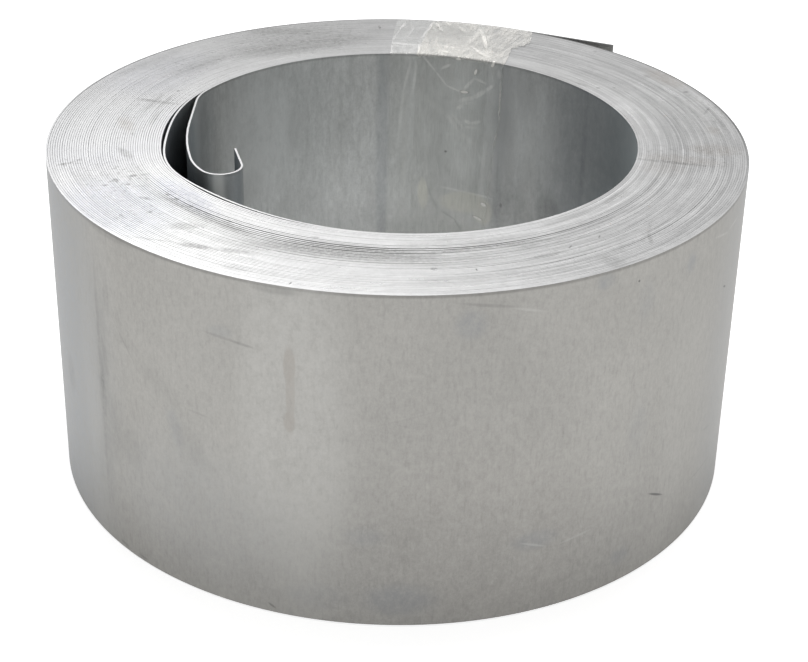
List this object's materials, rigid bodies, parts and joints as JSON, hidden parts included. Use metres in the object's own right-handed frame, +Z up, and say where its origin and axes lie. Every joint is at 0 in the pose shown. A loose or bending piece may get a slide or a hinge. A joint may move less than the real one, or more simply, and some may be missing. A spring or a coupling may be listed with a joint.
{
  "type": "steel coil",
  "caption": "Narrow slit coil of bright steel strip standing on its end, with an open bore, a hooked inner end, a straight outer tail and clear tape holding it closed.",
  "frame": {"origin": "centre of the coil's foot, on the surface that it stands on", "axes": "+Z up along the coil's axis, +Y towards the tape, -X towards the hooked inner end"},
  "size_m": [0.3031, 0.3037, 0.1503],
  "materials": {
    "steel_strip": "bright zinc-grey rolled strip, matte on its faces, with slit edges that shine on the coil's ends",
    "clear_tape": "clear adhesive packing tape, creased, a little yellow where it lies double"
  },
  "bodies": {
    "root": {"strip_coil": "steel_strip", "tape_band": "clear_tape"}
  },
  "joints": []
}
